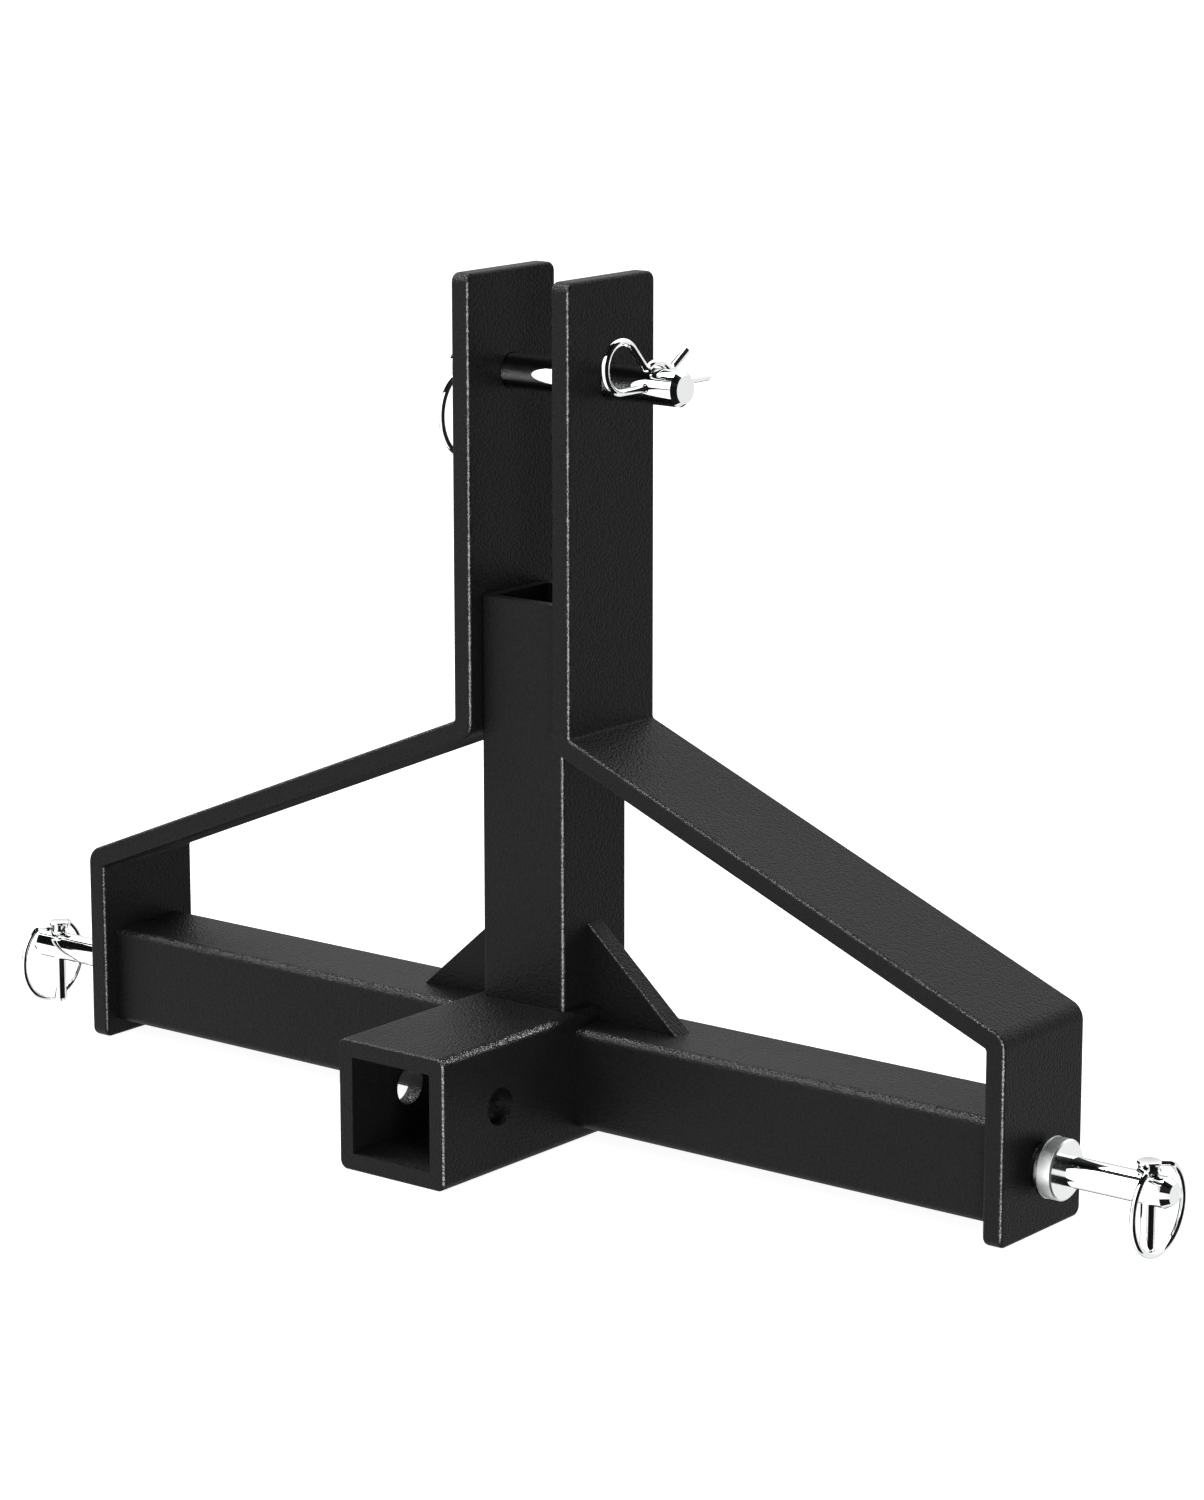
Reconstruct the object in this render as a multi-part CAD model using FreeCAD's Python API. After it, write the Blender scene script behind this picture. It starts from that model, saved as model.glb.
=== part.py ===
import FreeCAD, Part
import math
import os

# Three point receiver hitch. Millimetres.
# +X runs to the right along the crossbar, +Y to the back, +Z up.
# The origin is on the floor under the middle of the crossbar.

# Square tube of the crossbar and of the mast column
tube_side = 55.0
tube_wall = 6.0
crossbar_corner_r = 5.0

# Receiver tube
receiver_side = 71.0
receiver_bore = 52.4
receiver_corner_r = 4.5
receiver_reach = 109.0
receiver_rim_chamfer = 0.8
hitch_hole_d = 20.5
hitch_hole_setback = 46.3

# Flat bar that is bent into mast plate, arm and end plate
end_plate_span = 601.0
bar_width = 73.5
bar_thickness = 11.5
bar_corner_r = 5.0
bar_edge_r = 2.0
bend_outer_r = 10.0
bend_inner_r = 2.0
mast_top_z = 460.5
arm_upper_z = 222.0
arm_lower_z = 109.3

# Column and gussets
column_top_z = 290.0
column_corner_r = 2.5
gusset_thickness = 12.0
gusset_rise = 52.5
gusset_run = 59.5
gusset_edge_r = 1.2

# Lower hitch pins, their boss, washer and collar
lower_pin_d = 16.0
fixed_fit_gap = 0.05
boss_d = 24.0
boss_length = 5.0
washer_d = 32.0
washer_thickness = 1.4
collar_d = 31.6
collar_length = 8.4
collar_chamfer = 0.8
lower_pin_grip = 47.2
lower_pin_end = 10.8
lower_pin_tip_length = 4.5
lower_pin_tip_d = 11.2

# Linch pins and their spring rings
loose_gap = 0.3
linch_d = 7.5
linch_shank_length = 42.2
linch_tip_length = 2.0
linch_tip_d = 4.6
linch_head_d = 12.5
linch_waist_d = 11.0
linch_head_height = 6.4
linch_head_edge_r = 1.2
linch_eye_height = 3.0
ring_wire_d = 3.2
ring_mean_r = 23.6
ring_half_gap = 12.0
ring_stud_depth = 3.0

# Top pin, its pull ring and its hairpin clip
top_pin_d = 19.0
top_pin_drop = 54.3
top_pin_clip_reach = 44.9
top_pin_tip_length = 3.1
top_pin_tip_d = 15.0
top_pin_pull_reach = 25.4
top_pin_pull_chamfer = 1.5
pull_eye_d = 9.0
pull_eye_inset = 8.2
pull_ring_wire_d = 3.4
pull_ring_mean_r = 24.0
clip_wire_d = 4.1
clip_standoff = 0.9
clip_inset = 16.1
clip_leg_tail = 45.0
clip_loop_r = 13.0
clip_loop_reach = 29.3
clip_loop_sweep = 227.4
clip_wrap_angle = 35.0
clip_neck_r = 3.0
clip_heel_r = 5.0
clip_heel_y = 11.8
clip_flare_y = 26.0
clip_flare_rise = 16.1

# Places that follow from the sizes above
X = FreeCAD.Vector(1, 0, 0)
Y = FreeCAD.Vector(0, 1, 0)
Z = FreeCAD.Vector(0, 0, 1)
ORIGIN = FreeCAD.Vector(0, 0, 0)
half_tube = tube_side / 2
half_receiver = receiver_side / 2
axis_z = half_receiver
receiver_front_y = -(half_tube + receiver_reach)
receiver_rear_y = half_tube
crossbar_top_z = axis_z + half_tube
mast_inner_x = half_tube
mast_outer_x = half_tube + bar_thickness
end_inner_x = end_plate_span / 2
end_outer_x = end_inner_x + bar_thickness
top_pin_z = mast_top_z - top_pin_drop
boss_end_x = end_outer_x + boss_length
washer_end_x = boss_end_x + washer_thickness
collar_end_x = washer_end_x + collar_length
linch_x = collar_end_x + lower_pin_grip
head_bottom_z = axis_z + lower_pin_d / 2 + loose_gap
ring_hinge_z = head_bottom_z + linch_eye_height
ring_plane_offset = linch_d / 2 + ring_wire_d / 2 + loose_gap
clip_x = mast_outer_x + top_pin_clip_reach - clip_inset
pull_end_x = -(mast_outer_x + top_pin_pull_reach)
pull_eye_x = pull_end_x + pull_eye_inset


def point(x, y, z):
    return FreeCAD.Vector(x, y, z)


def rounded_edges(points, radii, closed):
    """Straight runs through the points, with a tangent arc of the given radius at each corner."""
    count = len(points)
    entries = []
    exits = []
    middles = []
    for i in range(count):
        is_end = not closed and i in (0, count - 1)
        if is_end or radii[i] == 0:
            entries.append(points[i])
            exits.append(points[i])
            middles.append(None)
            continue
        back = (points[i - 1] - points[i]).normalize()
        ahead = (points[(i + 1) % count] - points[i]).normalize()
        half_angle = back.getAngle(ahead) / 2
        cut = radii[i] / math.tan(half_angle)
        bisector = (back + ahead).normalize()
        middle = points[i] + bisector * (radii[i] / math.sin(half_angle) - radii[i])
        entries.append(points[i] + back * cut)
        exits.append(points[i] + ahead * cut)
        middles.append(middle)
    edges = []
    for i in range(count):
        if middles[i] is not None:
            edges.append(Part.Arc(entries[i], middles[i], exits[i]).toShape())
        if closed or i < count - 1:
            edges.append(Part.LineSegment(exits[i], entries[(i + 1) % count]).toShape())
    return edges


def prism(points, radii, push):
    """A closed outline with rounded corners, pushed along a vector."""
    outline = Part.Wire(rounded_edges(points, radii, True))
    return Part.Face(outline).extrude(push)


def square_bar(side, corner_r, start, push):
    """A square bar with rounded long edges, along the vector push from the centre point start."""
    across = Z.cross(push).normalize() if push.z == 0 else X
    upward = Z if push.z == 0 else Y
    half = side / 2
    corners = [start + across * (a * half) + upward * (b * half) for a, b in ((-1, -1), (1, -1), (1, 1), (-1, 1))]
    return prism(corners, [corner_r] * 4, push)


def square_tube(side, bore, corner_r, start, push):
    return square_bar(side, corner_r, start, push).cut(square_bar(bore, 0, start, push))


def turned(profile, start, axis):
    """A solid of revolution: profile lists (distance along the axis, radius) from one end to the other."""
    across = Y if abs(axis.z) > 0.5 else Z
    points = [start + axis * profile[0][0]]
    points += [start + axis * along + across * radius for along, radius in profile]
    points.append(start + axis * profile[-1][0])
    return Part.Face(Part.makePolygon(points + points[:1])).revolve(start, axis, 360)


def wire_rod(edges, wire_d):
    """Round wire bent along a path of straight runs and tangent arcs."""
    path = Part.Wire(edges)
    start = edges[0].valueAt(edges[0].FirstParameter)
    direction = edges[0].tangentAt(edges[0].FirstParameter)
    section = Part.Wire([Part.Circle(start, direction, wire_d / 2).toShape()])
    return path.makePipeShell([section], True, True)


def mirrored(shape):
    return shape.mirror(ORIGIN, X)


def edges_where(shape, wanted):
    return [edge for edge in shape.Edges if wanted(edge.BoundBox)]


def receiver_tube():
    """Heavy square tube, open at both ends, with a cross hole for the drawbar's pin."""
    start = point(0, receiver_front_y, axis_z)
    push = Y * (receiver_rear_y - receiver_front_y)
    body = square_bar(receiver_side, receiver_corner_r, start, push)
    rims = edges_where(body, lambda box: box.YLength < 0.01)
    body = body.makeChamfer(receiver_rim_chamfer, rims)
    body = body.cut(square_bar(receiver_bore, 0, start, push))
    hole_y = receiver_front_y + hitch_hole_setback
    hole = Part.makeCylinder(hitch_hole_d / 2, receiver_side, point(-half_receiver, hole_y, axis_z), X)
    return body.cut(hole)


def crossbar_right():
    """Square tube between the side of the receiver and the right end plate."""
    start = point(half_receiver, 0, axis_z)
    push = X * (end_inner_x - half_receiver)
    return square_tube(tube_side, tube_side - 2 * tube_wall, crossbar_corner_r, start, push)


def mast_column():
    """Square tube that stands on the receiver between the two mast plates, open at the top."""
    start = point(0, 0, receiver_side)
    push = Z * (column_top_z - receiver_side)
    return square_tube(tube_side, tube_side - 2 * tube_wall, column_corner_r, start, push)


def side_bar_right():
    """One flat bar with two bends: mast plate, sloping arm and end plate."""
    slope = (arm_upper_z - arm_lower_z) / (end_inner_x - mast_inner_x)
    underside = bar_thickness * slope - bar_thickness * math.sqrt(1 + slope * slope)
    front_y = -bar_width / 2
    outline = [
        (mast_inner_x, mast_top_z, 0),
        (mast_outer_x, mast_top_z, 0),
        (mast_outer_x, arm_upper_z, bend_inner_r),
        (end_outer_x, arm_lower_z, bend_outer_r),
        (end_outer_x, 0, 0),
        (end_inner_x, 0, 0),
        (end_inner_x, arm_lower_z + underside, bend_inner_r),
        (mast_inner_x, arm_upper_z + underside, bend_outer_r),
    ]
    points = [point(x, front_y, z) for x, z, radius in outline]
    bar = prism(points, [radius for x, z, radius in outline], Y * bar_width)
    ends = edges_where(bar, lambda box: box.YLength < 0.01 and box.ZLength < 0.01)
    bar = bar.makeFillet(bar_corner_r, ends)
    rims = edges_where(bar, lambda box: box.YLength < bar_width - 3 * bar_corner_r and box.XLength + box.ZLength > 0.01)
    bar = bar.makeFillet(bar_edge_r, [edge for edge in rims if edge.BoundBox.YLength < 0.01])
    top_hole_r = top_pin_d / 2 + loose_gap
    bar = bar.cut(Part.makeCylinder(top_hole_r, bar_thickness, point(mast_inner_x, 0, top_pin_z), X))
    pin_hole_r = lower_pin_d / 2 + fixed_fit_gap
    return bar.cut(Part.makeCylinder(pin_hole_r, bar_thickness, point(end_inner_x, 0, axis_z), X))


def gusset_right():
    """Triangular plate in the corner of column and crossbar, notched over the receiver's shoulder."""
    front_y = -gusset_thickness / 2
    outline = [
        (mast_inner_x, crossbar_top_z + gusset_rise),
        (mast_inner_x + gusset_run, crossbar_top_z),
        (half_receiver, crossbar_top_z),
        (half_receiver, receiver_side),
        (mast_inner_x, receiver_side),
    ]
    points = [point(x, front_y, z) for x, z in outline]
    plate = prism(points, [0] * len(points), Y * gusset_thickness)
    slopes = edges_where(plate, lambda box: box.XLength > 0.9 * gusset_run and box.ZLength > 0.9 * gusset_rise)
    return plate.makeFillet(gusset_edge_r, slopes)


def lower_pin_right():
    """Lower hitch pin, seated through the end plate, with a tapered tip and a linch pin hole."""
    end_x = linch_x + lower_pin_end
    profile = [
        (0, lower_pin_d / 2),
        (end_x - end_inner_x, lower_pin_d / 2),
        (end_x + lower_pin_tip_length - end_inner_x, lower_pin_tip_d / 2),
    ]
    pin = turned(profile, point(end_inner_x, 0, axis_z), X)
    hole_r = linch_d / 2 + loose_gap
    return pin.cut(Part.makeCylinder(hole_r, 2 * lower_pin_d, point(linch_x, 0, axis_z - lower_pin_d), Z))


def pin_sleeve(start_x, end_x, diameter, chamfer):
    """A round piece threaded on the lower pin, with its outer front edge chamfered."""
    length = end_x - start_x
    profile = [(0, diameter / 2), (length - chamfer, diameter / 2), (length, diameter / 2 - chamfer)]
    if chamfer == 0:
        profile = profile[:2]
    start = point(start_x, 0, axis_z)
    bore = Part.makeCylinder(lower_pin_d / 2 + fixed_fit_gap, length, start, X)
    return turned(profile, start, X).cut(bore)


def linch_pin_right():
    """Drop pin with a waisted head, which hangs in the hole of the lower pin."""
    rounding = [
        (linch_head_edge_r * (1 - math.cos(angle)), linch_head_edge_r * (1 - math.sin(angle)))
        for angle in [math.radians(a) for a in range(0, 91, 15)]
    ]
    head_r = linch_head_d / 2
    shank = linch_shank_length
    profile = [(0, linch_tip_d / 2), (linch_tip_length, linch_d / 2), (shank, linch_d / 2), (shank, head_r - 1)]
    profile.append((shank + 1, head_r))
    profile.append((shank + linch_head_height * 0.35, linch_waist_d / 2))
    profile.append((shank + linch_head_height * 0.65, linch_waist_d / 2))
    top = shank + linch_head_height
    profile += [(top - drop, head_r - inset) for inset, drop in rounding]
    pin = turned(profile, point(linch_x, 0, head_bottom_z - shank), Z)
    eye_r = ring_wire_d / 2 + loose_gap
    eye = Part.makeCylinder(eye_r, 2 * linch_head_d, point(linch_x, -linch_head_d, ring_hinge_z), Y)
    return pin.cut(eye)


def linch_ring_right():
    """Open spring wire hoop that hangs round the lower pin, with two studs in the linch pin's head."""
    wire_r = ring_wire_d / 2
    plane_x = linch_x + ring_plane_offset
    drop = math.sqrt(ring_mean_r ** 2 - ring_half_gap ** 2)
    centre = point(plane_x, 0, ring_hinge_z - drop)
    start = point(plane_x, ring_half_gap, ring_hinge_z)
    tangent = (start - centre).cross(X).normalize()
    section = Part.Face(Part.Wire([Part.Circle(start, tangent, wire_r).toShape()]))
    open_angle = 2 * math.degrees(math.asin(ring_half_gap / ring_mean_r))
    hoop = section.revolve(centre, X * -1, 360 - open_angle)
    for side in (-1, 1):
        hoop_end = point(plane_x, side * ring_half_gap, ring_hinge_z)
        elbow = point(linch_x, side * (linch_head_d / 2 + wire_r + loose_gap), ring_hinge_z)
        stud_end = point(linch_x, side * ring_stud_depth, ring_hinge_z)
        for a, b in ((hoop_end, elbow), (elbow, stud_end)):
            hoop = hoop.fuse(Part.makeCylinder(wire_r, (b - a).Length, a, b - a))
        for joint in (hoop_end, elbow):
            hoop = hoop.fuse(Part.makeSphere(wire_r, joint))
    return hoop.removeSplitter()


def top_pin():
    """Plain pin through both mast plates, with a hole for the clip and an eye for the pull ring."""
    clip_end_x = mast_outer_x + top_pin_clip_reach
    radius = top_pin_d / 2
    profile = [
        (0, radius - top_pin_pull_chamfer),
        (top_pin_pull_chamfer, radius),
        (clip_end_x - pull_end_x, radius),
        (clip_end_x + top_pin_tip_length - pull_end_x, top_pin_tip_d / 2),
    ]
    pin = turned(profile, point(pull_end_x, 0, top_pin_z), X)
    clip_hole_r = clip_wire_d / 2 + loose_gap
    pin = pin.cut(Part.makeCylinder(clip_hole_r, 2 * top_pin_d, point(clip_x, -top_pin_d, top_pin_z), Y))
    eye = Part.makeCylinder(pull_eye_d / 2, 2 * top_pin_d, point(pull_eye_x, -top_pin_d, top_pin_z), Y)
    return pin.cut(eye)


def top_pin_ring():
    """Closed wire ring that hangs in the eye of the top pin."""
    wire_r = pull_ring_wire_d / 2
    at_mouth = math.sqrt(pull_ring_mean_r ** 2 - (top_pin_d / 2) ** 2)
    centre_z = top_pin_z - pull_eye_d / 2 + wire_r + loose_gap - at_mouth
    return Part.makeTorus(pull_ring_mean_r, wire_r, point(pull_eye_x, 0, centre_z), X)


def hairpin_clip():
    """Spring wire clip: straight leg through the pin, round loop, and a leg that hugs the pin's top."""
    wrap_r = top_pin_d / 2 + clip_wire_d / 2 + clip_standoff

    def at(y, rise):
        return point(clip_x, y, top_pin_z + rise)

    def on_loop(angle):
        turn = math.radians(angle)
        return at(-clip_loop_reach - clip_loop_r * math.sin(turn), clip_loop_r - clip_loop_r * math.cos(turn))

    steep = math.radians(clip_loop_sweep - 180)
    wrap = math.radians(clip_wrap_angle)
    crown = wrap_r / math.cos(wrap)
    loop_end = on_loop(clip_loop_sweep)
    end_rise = loop_end.z - top_pin_z
    run = (end_rise - crown - math.tan(wrap) * loop_end.y) / (math.sin(steep) + math.tan(wrap) * math.cos(steep))
    neck = at(loop_end.y + run * math.cos(steep), end_rise - run * math.sin(steep))
    heel = at(clip_heel_y, crown - clip_heel_y * math.tan(wrap))
    edges = [Part.LineSegment(at(clip_leg_tail, 0), on_loop(0)).toShape()]
    edges.append(Part.Arc(on_loop(0), on_loop(clip_loop_sweep / 2), loop_end).toShape())
    hugging = [loop_end, neck, at(0, crown), heel, at(clip_flare_y, clip_flare_rise)]
    edges += rounded_edges(hugging, [0, clip_neck_r, wrap_r, clip_heel_r, 0], False)
    return wire_rod(edges, clip_wire_d)


nodes = {
    "receiver_tube": receiver_tube(),
    "mast_column": mast_column(),
    "top_pin": top_pin(),
    "top_pin_ring": top_pin_ring(),
    "hairpin_clip": hairpin_clip(),
}
pairs = {
    "crossbar": crossbar_right(),
    "side_bar": side_bar_right(),
    "gusset": gusset_right(),
    "lower_pin": lower_pin_right(),
    "pin_boss": pin_sleeve(end_outer_x, boss_end_x, boss_d, 0),
    "pin_washer": pin_sleeve(boss_end_x, washer_end_x, washer_d, 0),
    "pin_collar": pin_sleeve(washer_end_x, collar_end_x, collar_d, collar_chamfer),
    "linch_pin": linch_pin_right(),
    "linch_ring": linch_ring_right(),
}
for name, shape in pairs.items():
    nodes[name + "_right"] = shape
    nodes[name + "_left"] = mirrored(shape)

os.makedirs("parts", exist_ok=True)
for name, shape in nodes.items():
    solids = shape.Solids
    solid = solids[0] if len(solids) == 1 else Part.makeCompound(solids)
    print(name, len(solids), round(solid.Volume, 1), solid.isValid())
    solid.exportStep("parts/" + name + ".step")
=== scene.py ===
import math

import bmesh
import bpy
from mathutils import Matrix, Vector


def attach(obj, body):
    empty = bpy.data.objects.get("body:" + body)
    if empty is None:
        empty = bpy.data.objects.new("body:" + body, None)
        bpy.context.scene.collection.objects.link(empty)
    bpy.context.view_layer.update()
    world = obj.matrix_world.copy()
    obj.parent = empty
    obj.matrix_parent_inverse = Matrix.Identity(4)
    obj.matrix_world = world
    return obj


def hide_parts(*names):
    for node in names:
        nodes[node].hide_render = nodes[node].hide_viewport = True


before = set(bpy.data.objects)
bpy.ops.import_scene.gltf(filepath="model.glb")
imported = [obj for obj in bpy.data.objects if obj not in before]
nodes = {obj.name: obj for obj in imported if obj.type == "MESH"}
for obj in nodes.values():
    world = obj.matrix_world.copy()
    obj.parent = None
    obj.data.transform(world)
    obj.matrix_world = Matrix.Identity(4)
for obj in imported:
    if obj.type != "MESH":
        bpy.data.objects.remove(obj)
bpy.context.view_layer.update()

# Camera, studio and floor.
# The camera stands to the right of the receiver's mouth and a little above it, with a long lens.
# The room is white, with a dark sector and black cards, and strip lights catch the edges of the steel.
camera_data = bpy.data.cameras.new("camera")
camera_data.lens = 111.528
camera_data.clip_end = 50
camera = bpy.data.objects.new("camera", camera_data)
camera.location = (1.50895, -1.88541, 0.75063)
camera.rotation_euler = [math.radians(a) for a in (77.26710, 0.03698, 38.05876)]
bpy.context.scene.collection.objects.link(camera)
bpy.context.scene.camera = camera
bpy.context.scene.view_settings.view_transform = "Standard"


def start_shader(owner, output):
    """An empty node tree for a material or a world, with its output node."""
    owner.use_nodes = True
    tree = owner.node_tree
    tree.nodes.clear()
    return tree, tree.nodes.new(output)


def add(tree, kind, inputs=None, **settings):
    """A shader node with its settings; inputs gives a number, colour or other node's output per socket."""
    node = tree.nodes.new(kind)
    for key, value in settings.items():
        setattr(node, key, value)
    for socket, value in (inputs or {}).items():
        if hasattr(value, "is_output"):
            tree.links.new(value, node.inputs[socket])
        else:
            node.inputs[socket].default_value = value
    return node


def stops(ramp_node, *points):
    """Sets the stops of a colour ramp, each given as (place, grey level)."""
    ramp = ramp_node.color_ramp
    while len(ramp.elements) > 1:
        ramp.elements.remove(ramp.elements[-1])
    for i, (place, grey) in enumerate(points):
        element = ramp.elements[0] if i == 0 else ramp.elements.new(place)
        element.position = place
        element.color = (grey, grey, grey, 1)


dark_sector = (math.radians(-55), math.radians(47))
bright_side = (-0.616, -0.788, 0.0)
behind_object = (-0.60, 0.768, -0.22)
studio = bpy.data.worlds.new("studio")
bpy.context.scene.world = studio
tree, out = start_shader(studio, "ShaderNodeOutputWorld")
rays = add(tree, "ShaderNodeLightPath")
direction = add(tree, "ShaderNodeTexCoord").outputs["Generated"]
level = add(tree, "ShaderNodeVectorMath", {0: direction, 1: (1.0, 1.0, 0.0)}, operation="MULTIPLY")
bearing = add(tree, "ShaderNodeVectorMath", {0: level.outputs[0]}, operation="NORMALIZE")
height = add(tree, "ShaderNodeSeparateXYZ", {0: direction})
height_up = add(tree, "ShaderNodeMapRange", {"Value": height.outputs["Z"],
                                             "From Min": -1.0, "From Max": 1.0})

# The dark sector on the right, which is wider near the floor and overhead.
flare = add(tree, "ShaderNodeValToRGB", {0: height_up.outputs["Result"]})
stops(flare, (0.20, 0.22), (0.30, 0.0), (0.53, 0.0), (0.62, 0.22))
inside = []
for turn, side in zip(dark_sector, (1, -1)):
    inward = (-side * math.sin(turn), side * math.cos(turn), 0.0)
    past = add(tree, "ShaderNodeVectorMath", {0: bearing.outputs[0], 1: inward}, operation="DOT_PRODUCT")
    inside.append(past.outputs["Value"])
wider = add(tree, "ShaderNodeMath", {0: inside[0], 1: flare.outputs["Color"]}, operation="ADD")
sector = add(tree, "ShaderNodeMath", {0: wider.outputs[0], 1: inside[1]}, operation="MINIMUM")
dark_side = add(tree, "ShaderNodeValToRGB", {0: sector.outputs[0]})
stops(dark_side, (0.0, 1.0), (0.04, 0.01))

# The dark edge of the table behind the object.
backward = add(tree, "ShaderNodeVectorMath", {0: direction, 1: behind_object}, operation="DOT_PRODUCT")
beside_table = add(tree, "ShaderNodeValToRGB", {0: backward.outputs["Value"]})
stops(beside_table, (0.82, 1.0), (0.86, 0.02))
above_table = add(tree, "ShaderNodeValToRGB", {0: height_up.outputs["Result"]})
stops(above_table, (0.455, 0.02), (0.475, 1.0))
table = add(tree, "ShaderNodeMath", {0: beside_table.outputs["Color"], 1: above_table.outputs["Color"]},
            operation="MAXIMUM")
mirrored = add(tree, "ShaderNodeMath", {0: dark_side.outputs["Color"], 1: table.outputs[0]},
               operation="MINIMUM")

# How bright the white walls are, by their bearing, and brighter towards the ceiling.
towards = add(tree, "ShaderNodeVectorMath", {0: bearing.outputs[0], 1: bright_side}, operation="DOT_PRODUCT")
facing_bright = add(tree, "ShaderNodeMapRange", {"Value": towards.outputs["Value"],
                                                 "From Min": -1.0, "From Max": 1.0})
brighter = add(tree, "ShaderNodeValToRGB", {0: facing_bright.outputs["Result"]})
stops(brighter, (0.0, 0.50), (0.2, 0.47), (0.32, 0.32), (0.5, 0.45), (1.0, 0.80))
overhead = add(tree, "ShaderNodeMapRange", {"Value": height.outputs["Z"], "From Min": 0.15, "From Max": 0.6,
                                            "To Min": 1.8, "To Max": 3.7})
strength = add(tree, "ShaderNodeMath", {0: brighter.outputs["Color"], 1: overhead.outputs["Result"]},
               operation="MULTIPLY")

# The room lights the object evenly, is mirrored with its dark parts, and looks plain white to the camera.
room_light = add(tree, "ShaderNodeBackground", {"Color": (1, 1, 1, 1), "Strength": 0.45})
room_mirror = add(tree, "ShaderNodeBackground", {"Color": mirrored.outputs[0],
                                                 "Strength": strength.outputs[0]})
room_white = add(tree, "ShaderNodeBackground", {"Color": (1, 1, 1, 1), "Strength": 1.0})
glossy = add(tree, "ShaderNodeMixShader", {0: rays.outputs["Is Glossy Ray"], 1: room_light.outputs[0],
                                           2: room_mirror.outputs[0]})
seen = add(tree, "ShaderNodeMixShader", {0: rays.outputs["Is Camera Ray"], 1: glossy.outputs[0],
                                         2: room_white.outputs[0]})
tree.links.new(seen.outputs[0], out.inputs["Surface"])


def softbox(name, place, aim, size, power):
    """A rectangular area light at a place in metres, aimed at a point, with its power in watts."""
    data = bpy.data.lights.new(name, "AREA")
    data.shape = "RECTANGLE"
    data.size, data.size_y = size
    data.energy = power
    lamp = bpy.data.objects.new(name, data)
    lamp.location = place
    lamp.rotation_euler = (Vector(aim) - Vector(place)).to_track_quat("-Z", "Y").to_euler()
    bpy.context.scene.collection.objects.link(lamp)
    return lamp


softbox("overhead_box", (-1.5, -0.6, 2.6), (0, 0, 0.15), (1.6, 1.6), 60)
edge_strips = [
    softbox("right_strip", (1.75, -1.37, -0.05), (0, 0, 0.25), (0.45, 1.2), 450),
    softbox("left_top_strip", (-1.45, -0.55, 1.85), (0, 0, 0.15), (0.5, 0.5), 200),
    softbox("front_top_strip", (0.25, -1.20, 2.05), (0, 0, 0.15), (0.5, 0.5), 200),
]
receiver_strip = softbox("receiver_strip", (0.80, 1.80, 1.25), (0, 0, 0.07), (0.4, 0.4), 110)
collar_strip = softbox("collar_strip", (-0.65, -1.22, -0.32), (0.32, 0, 0.035), (0.6, 0.6), 4.0)
collar_strip.data.use_shadow = False
for strip in edge_strips + [receiver_strip, collar_strip]:
    strip.visible_diffuse = False
    strip.data.cycles.max_bounces = 0


def flat_sheet(name, corners, material):
    """A flat stage piece, which isn't part of the object."""
    mesh = bpy.data.meshes.new(name)
    mesh.from_pydata(corners, [], [(0, 1, 2, 3)])
    mesh.materials.append(material)
    sheet = bpy.data.objects.new(name, mesh)
    bpy.context.scene.collection.objects.link(sheet)
    return sheet


pale_floor = bpy.data.materials.new("pale_floor")
tree, out = start_shader(pale_floor, "ShaderNodeOutputMaterial")
rays = add(tree, "ShaderNodeLightPath")
paper = add(tree, "ShaderNodeBsdfDiffuse", {"Color": (0.8, 0.8, 0.8, 1)})
paper_lit = add(tree, "ShaderNodeEmission", {"Color": (1, 1, 1, 1), "Strength": 0.93})
lit = add(tree, "ShaderNodeAddShader", {0: paper.outputs[0], 1: paper_lit.outputs[0]})
shown = add(tree, "ShaderNodeMixShader", {0: rays.outputs["Is Camera Ray"], 1: paper.outputs[0],
                                          2: lit.outputs[0]})
tree.links.new(shown.outputs[0], out.inputs["Surface"])
floor = flat_sheet("floor", [(-12, -12, 0), (12, -12, 0), (12, 12, 0), (-12, 12, 0)], pale_floor)
floor.visible_glossy = False
floor.visible_shadow = False

black_card = bpy.data.materials.new("black_card")
tree, out = start_shader(black_card, "ShaderNodeOutputMaterial")
card_paint = add(tree, "ShaderNodeBsdfDiffuse", {"Color": (0.01, 0.01, 0.01, 1)})
tree.links.new(card_paint.outputs[0], out.inputs["Surface"])
cards = {
    "left_card": [(-0.70, -0.119, 0.401), (-0.70, -0.119, 0.017),
                  (-0.70, -0.379, 0.017), (-0.70, -0.379, 0.401)],
    "overhead_flag": [(-0.9, -0.420, 0.803), (0.9, -0.420, 0.803),
                      (0.9, -0.021, 0.498), (-0.9, -0.021, 0.498)],
    "front_card": [(0.24, -0.49, 0.0), (0.38, -0.41, 0.0),
                   (0.38, -0.41, 0.6), (0.24, -0.49, 0.6)],
}
for name, corners in cards.items():
    card = flat_sheet(name, corners, black_card)
    card.visible_camera = False
    card.visible_diffuse = False
    card.visible_shadow = False

# Welded frame: receiver tube, crossbar, mast column, bent side bars, gussets and pin bosses.
# Steel, welded together and then powder coated black with a fine, slightly sandy texture.
powder_coat = bpy.data.materials.new("black_powder_coat")
tree, out = start_shader(powder_coat, "ShaderNodeOutputMaterial")
place = add(tree, "ShaderNodeTexCoord")
sand = add(tree, "ShaderNodeTexVoronoi", {"Vector": place.outputs["Object"], "Scale": 720.0}, feature="F1")
cloud = add(tree, "ShaderNodeTexNoise", {"Vector": place.outputs["Object"], "Scale": 25.0, "Detail": 3.0})
tint = add(tree, "ShaderNodeValToRGB", {0: sand.outputs["Distance"]})
stops(tint, (0.2, 0.010), (0.7, 0.005))
sheen_spread = add(tree, "ShaderNodeMapRange", {"Value": cloud.outputs["Fac"],
                                                "To Min": 0.36, "To Max": 0.42})
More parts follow.
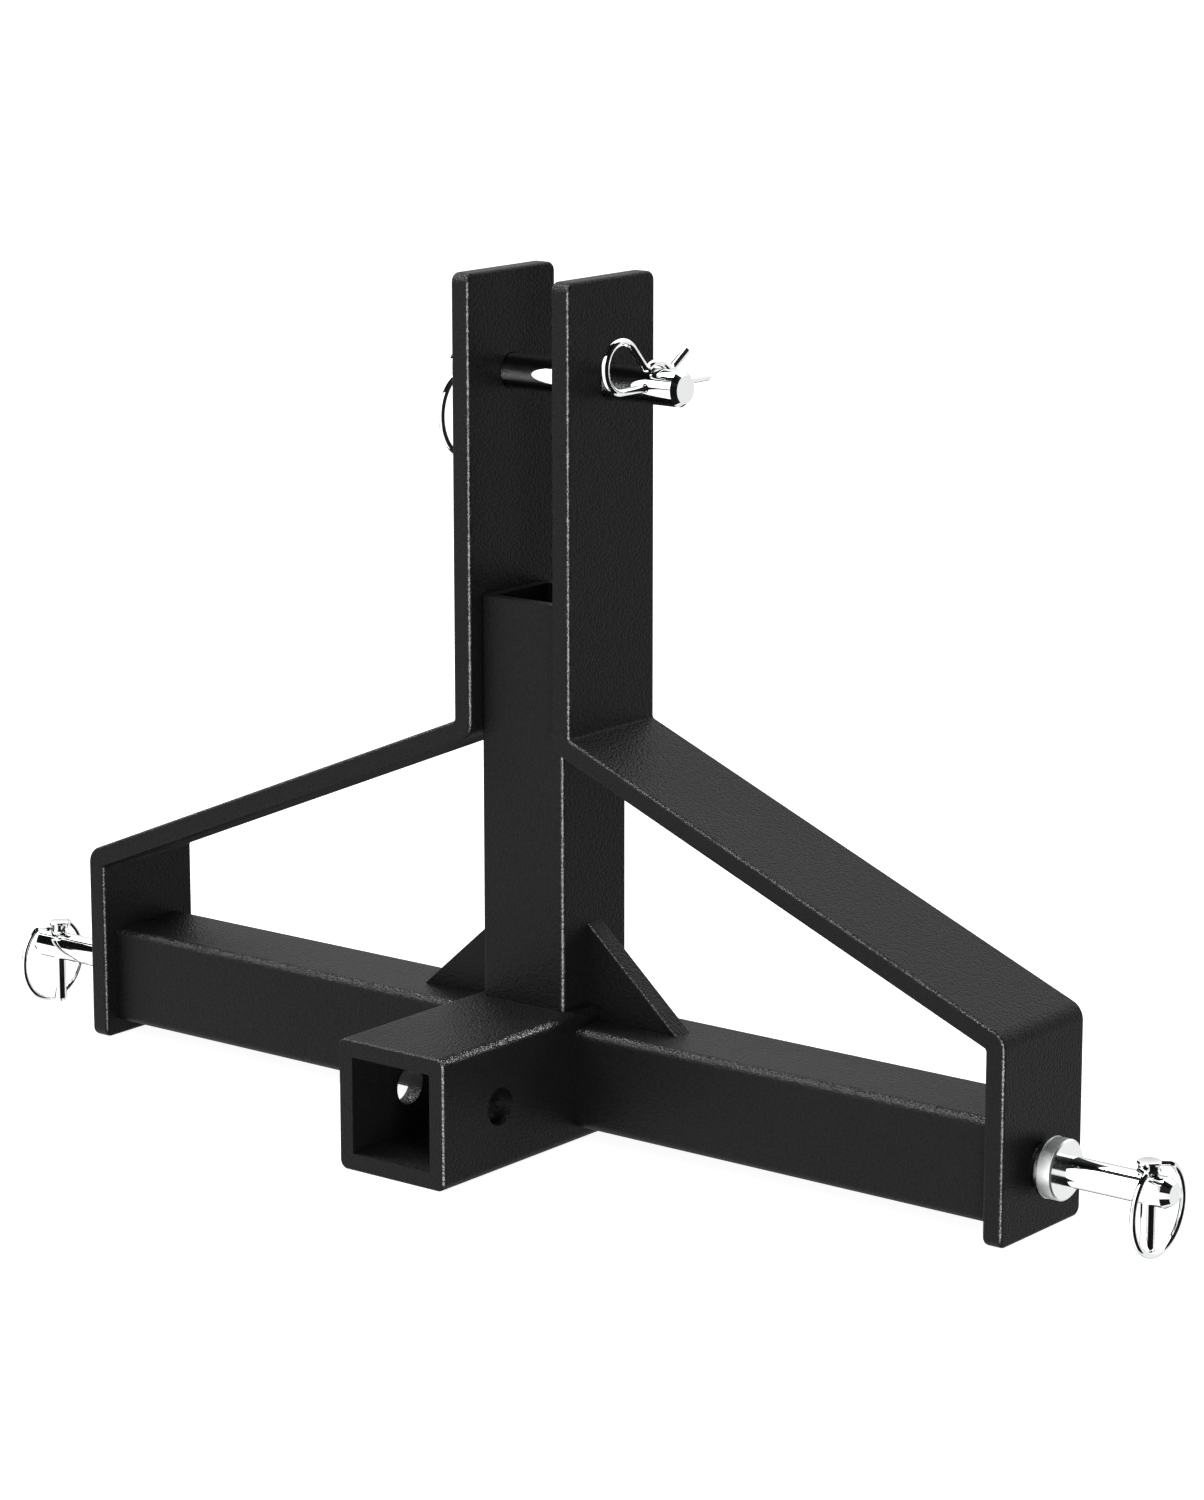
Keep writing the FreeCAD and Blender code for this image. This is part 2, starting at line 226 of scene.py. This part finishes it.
upward = add(tree, "ShaderNodeSeparateXYZ", {0: place.outputs["Normal"]})
settled = add(tree, "ShaderNodeMapRange", {"Value": upward.outputs["Z"], "From Min": 0.3, "From Max": 0.9,
                                           "To Min": 0.4, "To Max": 1.0})
grain = add(tree, "ShaderNodeBump", {"Height": sand.outputs["Distance"], "Distance": 0.0005,
                                     "Strength": settled.outputs["Result"]}, invert=True)
coat = add(tree, "ShaderNodeBsdfPrincipled", {"Base Color": tint.outputs["Color"],
                                              "Roughness": sheen_spread.outputs["Result"],
                                              "Specular IOR Level": 0.1, "Normal": grain.outputs["Normal"]})
tree.links.new(coat.outputs[0], out.inputs["Surface"])
coated = ["receiver_tube", "mast_column"]
for name in ("crossbar", "side_bar", "gusset", "pin_boss"):
    coated += [name + "_left", name + "_right"]
coated_steel = bpy.data.collections.new("coated_steel")
for name in coated:
    nodes[name].material_slots[0].material = powder_coat
    coated_steel.objects.link(nodes[name])
for strip in edge_strips:
    strip.light_linking.receiver_collection = coated_steel
receiver_alone = bpy.data.collections.new("receiver_alone")
receiver_alone.objects.link(nodes["receiver_tube"])
receiver_strip.light_linking.receiver_collection = receiver_alone

# Lower hitch pins, seated through the end plates.
# Round steel bar, turned with a tapered tip, cross drilled for the linch pin and bright chrome plated.
mm = 0.001
hands = (("left", -1), ("right", 1))
pin_height = 35.5 * mm
pin_root = 300.5 * mm
linch_x = 374.0 * mm
linch_bore = 4.05
# The rings close to each other stand beside the bore, so that its cut doesn't spoil the shading.
pin_profile = [(0, 8.0), (66, 8.0), (67, 8.0), (80, 8.0), (81, 8.0), (84.3, 8.0), (88.8, 5.6)]


def plating(name, colour, smears, side_roughness, end_roughness):
    """Plated steel, with smears of a scale and a detail, and another finish on flat ends across X."""
    material = bpy.data.materials.new(name)
    tree, out = start_shader(material, "ShaderNodeOutputMaterial")
    place = add(tree, "ShaderNodeTexCoord")
    smear = add(tree, "ShaderNodeTexNoise", {"Vector": place.outputs["Object"], "Scale": smears[0],
                                             "Detail": smears[1]})
    side = add(tree, "ShaderNodeMapRange", {"Value": smear.outputs["Fac"], "To Min": side_roughness[0],
                                            "To Max": side_roughness[1]})
    facing = add(tree, "ShaderNodeSeparateXYZ", {0: place.outputs["Normal"]})
    outward = add(tree, "ShaderNodeMath", {0: facing.outputs["X"]}, operation="ABSOLUTE")
    on_end = add(tree, "ShaderNodeMath", {0: outward.outputs[0], 1: 0.99}, operation="GREATER_THAN")
    skin = add(tree, "ShaderNodeMix", {0: on_end.outputs[0], 2: side.outputs["Result"], 3: end_roughness})
    plate = add(tree, "ShaderNodeBsdfPrincipled", {"Base Color": (*colour, 1), "Metallic": 1.0,
                                                   "Roughness": skin.outputs[0]})
    tree.links.new(plate.outputs[0], out.inputs["Surface"])
    return material


def finished_mesh(shape):
    """The mesh with its faces turned outward and shaded smooth, with edges over 25 degrees kept sharp."""
    bmesh.ops.recalc_face_normals(shape, faces=shape.faces)
    mesh = bpy.data.meshes.new("shape")
    shape.to_mesh(mesh)
    shape.free()
    mesh.shade_smooth()
    mesh.set_sharp_from_angle(angle=math.radians(25))
    return mesh


def turned_mesh(start, axis, profile, sides=128):
    """A closed solid turned about the axis; the profile lists (distance along it, radius) in millimetres."""
    axis = Vector(axis)
    across = axis.orthogonal().normalized()
    upward = axis.cross(across)
    shape = bmesh.new()
    rings = []
    for distance, radius in profile:
        ring = []
        for i in range(sides):
            turn = 2 * math.pi * i / sides
            spoke = across * math.cos(turn) + upward * math.sin(turn)
            ring.append(shape.verts.new(Vector(start) + axis * distance * mm + spoke * radius * mm))
        rings.append(ring)
    for ring, following in zip(rings, rings[1:]):
        for i in range(sides):
            shape.faces.new((ring[i - 1], ring[i], following[i], following[i - 1]))
    shape.faces.new(rings[0])
    shape.faces.new(rings[-1])
    return finished_mesh(shape)


def drilled(piece, place, axis, radius):
    """Cuts a round hole of the given radius in millimetres through the piece, about a point on its axis."""
    length = 80
    start = place - Vector(axis) * length / 2 * mm
    drill = bpy.data.objects.new("drill", turned_mesh(start, axis, [(0, radius), (length, radius)], 64))
    bpy.context.scene.collection.objects.link(drill)
    cut = piece.modifiers.new("hole", "BOOLEAN")
    cut.object = drill
    cut.solver = "EXACT"
    bpy.context.view_layer.update()
    holed = bpy.data.meshes.new_from_object(piece.evaluated_get(bpy.context.evaluated_depsgraph_get()))
    piece.modifiers.clear()
    piece.data = holed
    bpy.data.objects.remove(drill)
    holed.set_sharp_from_angle(angle=math.radians(25))


def stand_in(name, mesh, material, node, body):
    """A smoothly finished piece that stands for a CAD node and moves with its body."""
    piece = bpy.data.objects.new(name, mesh)
    mesh.materials.append(material)
    bpy.context.scene.collection.objects.link(piece)
    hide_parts(node)
    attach(piece, body)
    return piece


bright = plating("bright_chrome", (0.93, 0.95, 0.945), (120.0, 2.0), (0.02, 0.05), 0.16)


def plated(name, mesh, node, body):
    """A stand-in with the bright chrome of the pins, rings and clip."""
    return stand_in(name, mesh, bright, node, body)


for hand, side in hands:
    mesh = turned_mesh((side * pin_root, 0, pin_height), (side, 0, 0), pin_profile)
    pin = plated("hitch_pin_" + hand, mesh, "lower_pin_" + hand, "frame")
    drilled(pin, Vector((side * linch_x, 0, pin_height)), (0, 0, 1), linch_bore)

# Washers and collars on the lower pins.
# Turned steel: the thin washers are bright plated, and the collars are zinc plated, satin round the side
# from the tool marks and brighter on the faced end.
zinc = plating("satin_zinc", (0.93, 0.955, 0.95), (300.0, 3.0), (0.38, 0.46), 0.14)
collar_start = 318.4 * mm
collar_middle = 322.6 * mm
collar_bore = 8.05
collar_profile = [(0, 15.2), (0.6, 15.8), (7.6, 15.8), (8.4, 15.0)]
collars = bpy.data.collections.new("collars")
for hand, side in hands:
    nodes["pin_washer_" + hand].material_slots[0].material = bright
    mesh = turned_mesh((side * collar_start, 0, pin_height), (side, 0, 0), collar_profile)
    collar = stand_in("collar_" + hand, mesh, zinc, "pin_collar_" + hand, "frame")
    drilled(collar, Vector((side * collar_middle, 0, pin_height)), (1, 0, 0), collar_bore)
    collars.objects.link(collar)
    collars.objects.link(nodes["pin_washer_" + hand])
collar_strip.light_linking.receiver_collection = collars

# Linch pins, which drop through the lower pins.
# Turned steel with a waisted head, cross drilled for the studs of the spring ring, and chrome plated.
linch_foot = 1.6 * mm
hinge_height = 46.8 * mm
stud_bore = 1.9
shank_profile = [(0, 2.3), (2.0, 3.75), (42.2, 3.75), (42.2, 5.25), (43.2, 6.25), (44.4, 5.5), (46.4, 5.5)]
rounding = [math.radians(a) for a in range(0, 91, 15)]
shank_profile += [(47.4 + 1.2 * math.sin(a), 5.05 + 1.2 * math.cos(a)) for a in rounding]
for hand, side in hands:
    mesh = turned_mesh((side * linch_x, 0, linch_foot), (0, 0, 1), shank_profile, 64)
    pin = plated("drop_pin_" + hand, mesh, "linch_pin_" + hand, "linch_" + hand)
    drilled(pin, Vector((side * linch_x, 0, hinge_height)), (0, 1, 0), stud_bore)

# Spring rings of the linch pins.
# Open hoops of round spring wire, sprung into the head and snapped round the lower pin, chrome plated.
hoop_radius = 23.6 * mm
hoop_wire = 1.6 * mm
hoop_offset = 5.65 * mm
half_gap = 12.0 * mm
stud_root = 3 * mm
stud_end = 8.15 * mm
stud_bend = 2.2 * mm
hoop_bend = 1.6 * mm
lead_in = 6
X, Y, Z = Vector((1, 0, 0)), Vector((0, 1, 0)), Vector((0, 0, 1))


def arc(centre, first, second, start, end, step=4):
    """Points of an arc from the start to the end angle in degrees; first and second are its radii."""
    count = max(2, round(abs(end - start) / step))
    turns = [math.radians(start + (end - start) * i / count) for i in range(count + 1)]
    return [centre + first * math.cos(a) + second * math.sin(a) for a in turns]


def bent(points, radii):
    """A path with the bend radius given for each of its points, none at its ends."""
    path = []
    for i, (corner, radius) in enumerate(zip(points, radii)):
        if not radius:
            path.append(corner)
            continue
        back = (points[i - 1] - corner).normalized()
        ahead = (points[i + 1] - corner).normalized()
        half = back.angle(ahead) / 2
        centre = corner + (back + ahead).normalized() * (radius / math.sin(half))
        first = corner + back * (radius / math.tan(half)) - centre
        last = corner + ahead * (radius / math.tan(half)) - centre
        sweep = first.angle(last)
        count = max(3, round(math.degrees(sweep) / 6))
        for j in range(count + 1):
            share = sweep * j / count
            spoke = (first * math.sin(sweep - share) + last * math.sin(share)) / math.sin(sweep)
            path.append(centre + spoke)
    return path


def wire_mesh(path, radius, closed=False, sides=32):
    """Round wire of the given radius along the path; open ends are cut square, with the burr taken off."""
    bevel = radius * 0.2
    radii = [radius] * len(path)
    if not closed:
        first = (path[1] - path[0]).normalized() * bevel
        last = (path[-2] - path[-1]).normalized() * bevel
        path = [path[0], path[0] + first] + path[1:-1] + [path[-1] + last, path[-1]]
        radii = [radius - bevel, radius] + radii[1:-1] + [radius, radius - bevel]
    shape = bmesh.new()
    rings = []
    across = None
    count = len(path)
    for i, (middle, thickness) in enumerate(zip(path, radii)):
        before = path[i - 1] if closed or i > 0 else middle
        after = path[(i + 1) % count] if closed or i < count - 1 else middle
        heading = (after - before).normalized()
        if across is None:
            across = heading.orthogonal()
        across = (across - heading * across.dot(heading)).normalized()
        upward = heading.cross(across)
        turns = [2 * math.pi * k / sides for k in range(sides)]
        spokes = [across * math.cos(a) + upward * math.sin(a) for a in turns]
        rings.append([shape.verts.new(middle + spoke * thickness) for spoke in spokes])
    following = rings[1:] + rings[:1] if closed else rings[1:]
    for ring, ahead in zip(rings, following):
        for k in range(sides):
            shape.faces.new((ring[k - 1], ring[k], ahead[k], ahead[k - 1]))
    if not closed:
        shape.faces.new(rings[0])
        shape.faces.new(rings[-1])
    return finished_mesh(shape)


for hand, side in hands:
    plane = X * side * (linch_x + hoop_offset)
    centre = plane + Z * (hinge_height - math.sqrt(hoop_radius ** 2 - half_gap ** 2))
    opening = math.degrees(math.asin(half_gap / hoop_radius))
    ends = []
    for way in (1, -1):
        stud = X * side * linch_x + Z * hinge_height
        elbow = stud + Y * way * stud_end
        hoop_end = plane + Y * way * half_gap + Z * hinge_height
        ends.append([stud + Y * way * stud_root, elbow, hoop_end])
    hoop = arc(centre, Z * hoop_radius, Y * hoop_radius, opening + lead_in, 360 - opening - lead_in)
    points = ends[0] + hoop + ends[1][::-1]
    radii = [0, stud_bend, hoop_bend] + [0] * len(hoop) + [hoop_bend, stud_bend, 0]
    mesh = wire_mesh(bent(points, radii), hoop_wire)
    plated("spring_hoop_" + hand, mesh, "linch_ring_" + hand, "hoop_" + hand)

# Top pin, through both mast plates.
# Round steel bar with a tapered tip, cross drilled for the clip and the pull ring, chrome plated.
top_pin_start = -64.4 * mm
top_pin_height = 406.2 * mm
top_pin_radius = 9.5
clip_x = 67.8 * mm
clip_bore = 2.35
eye_x = -56.2 * mm
eye_bore = 4.5
straight = (1.5, 2.6, 13.8, 14.8, 128, 129, 135.4, 136.4, 148.3)
top_pin_profile = [(0, 8.0)] + [(distance, top_pin_radius) for distance in straight] + [(151.4, 7.5)]
mesh = turned_mesh((top_pin_start, 0, top_pin_height), (1, 0, 0), top_pin_profile)
top_pin = plated("mast_pin", mesh, "top_pin", "top_pin")
drilled(top_pin, Vector((clip_x, 0, top_pin_height)), (0, 1, 0), clip_bore)
drilled(top_pin, Vector((eye_x, 0, top_pin_height)), (0, 1, 0), eye_bore)

# Pull ring, in the eye of the top pin.
# Round wire bent to a ring and butt welded, chrome plated.
ring_radius = 24 * mm
ring_wire = 1.7 * mm
ring_height = 381.66 * mm
ring_path = arc(X * eye_x + Z * ring_height, Y * ring_radius, Z * ring_radius, 0, 360, 3)[:-1]
plated("pull_loop", wire_mesh(ring_path, ring_wire, closed=True), "top_pin_ring", "pull_ring")

# Hairpin clip, through the outer end of the top pin.
# Spring wire: a straight leg through the hole, a round loop, and a leg that hugs the top of the pin.
clip_wire = 2.05
leg_tip = 45
loop_radius = 13
loop_along = -29.3
loop_sweep = 227.4
clearance = 0.9
wrap = math.radians(35)
wrap_radius = top_pin_radius + clip_wire + clearance
neck_bend = 3 * mm
heel_bend = 5 * mm
heel_along = 11.8
tail_tip = (26, 16.1)
pin_line = X * clip_x + Z * top_pin_height


def clip_point(along, rise):
    """A point of the clip's wire, in millimetres along it and above the middle of the top pin."""
    return pin_line + Y * along * mm + Z * rise * mm


loop = arc(clip_point(loop_along, loop_radius), Z * -loop_radius * mm, Y * -loop_radius * mm, 0, loop_sweep)
# From the loop the wire runs straight down to the neck, where it meets the line that rises to the crown.
last_along = loop_along - loop_radius * math.sin(math.radians(loop_sweep))
last_rise = loop_radius - loop_radius * math.cos(math.radians(loop_sweep))
steep = math.radians(loop_sweep - 180)
crown = wrap_radius / math.cos(wrap)
run = last_rise - crown - math.tan(wrap) * last_along
run /= math.sin(steep) + math.tan(wrap) * math.cos(steep)
neck = clip_point(last_along + run * math.cos(steep), last_rise - run * math.sin(steep))
heel = clip_point(heel_along, crown - heel_along * math.tan(wrap))
points = [clip_point(leg_tip, 0)] + loop + [neck, clip_point(0, crown), heel, clip_point(*tail_tip)]
radii = [0] * (len(loop) + 1) + [neck_bend, wrap_radius * mm, heel_bend, 0]
plated("spring_clip", wire_mesh(bent(points, radii), clip_wire * mm), "hairpin_clip", "top_pin")
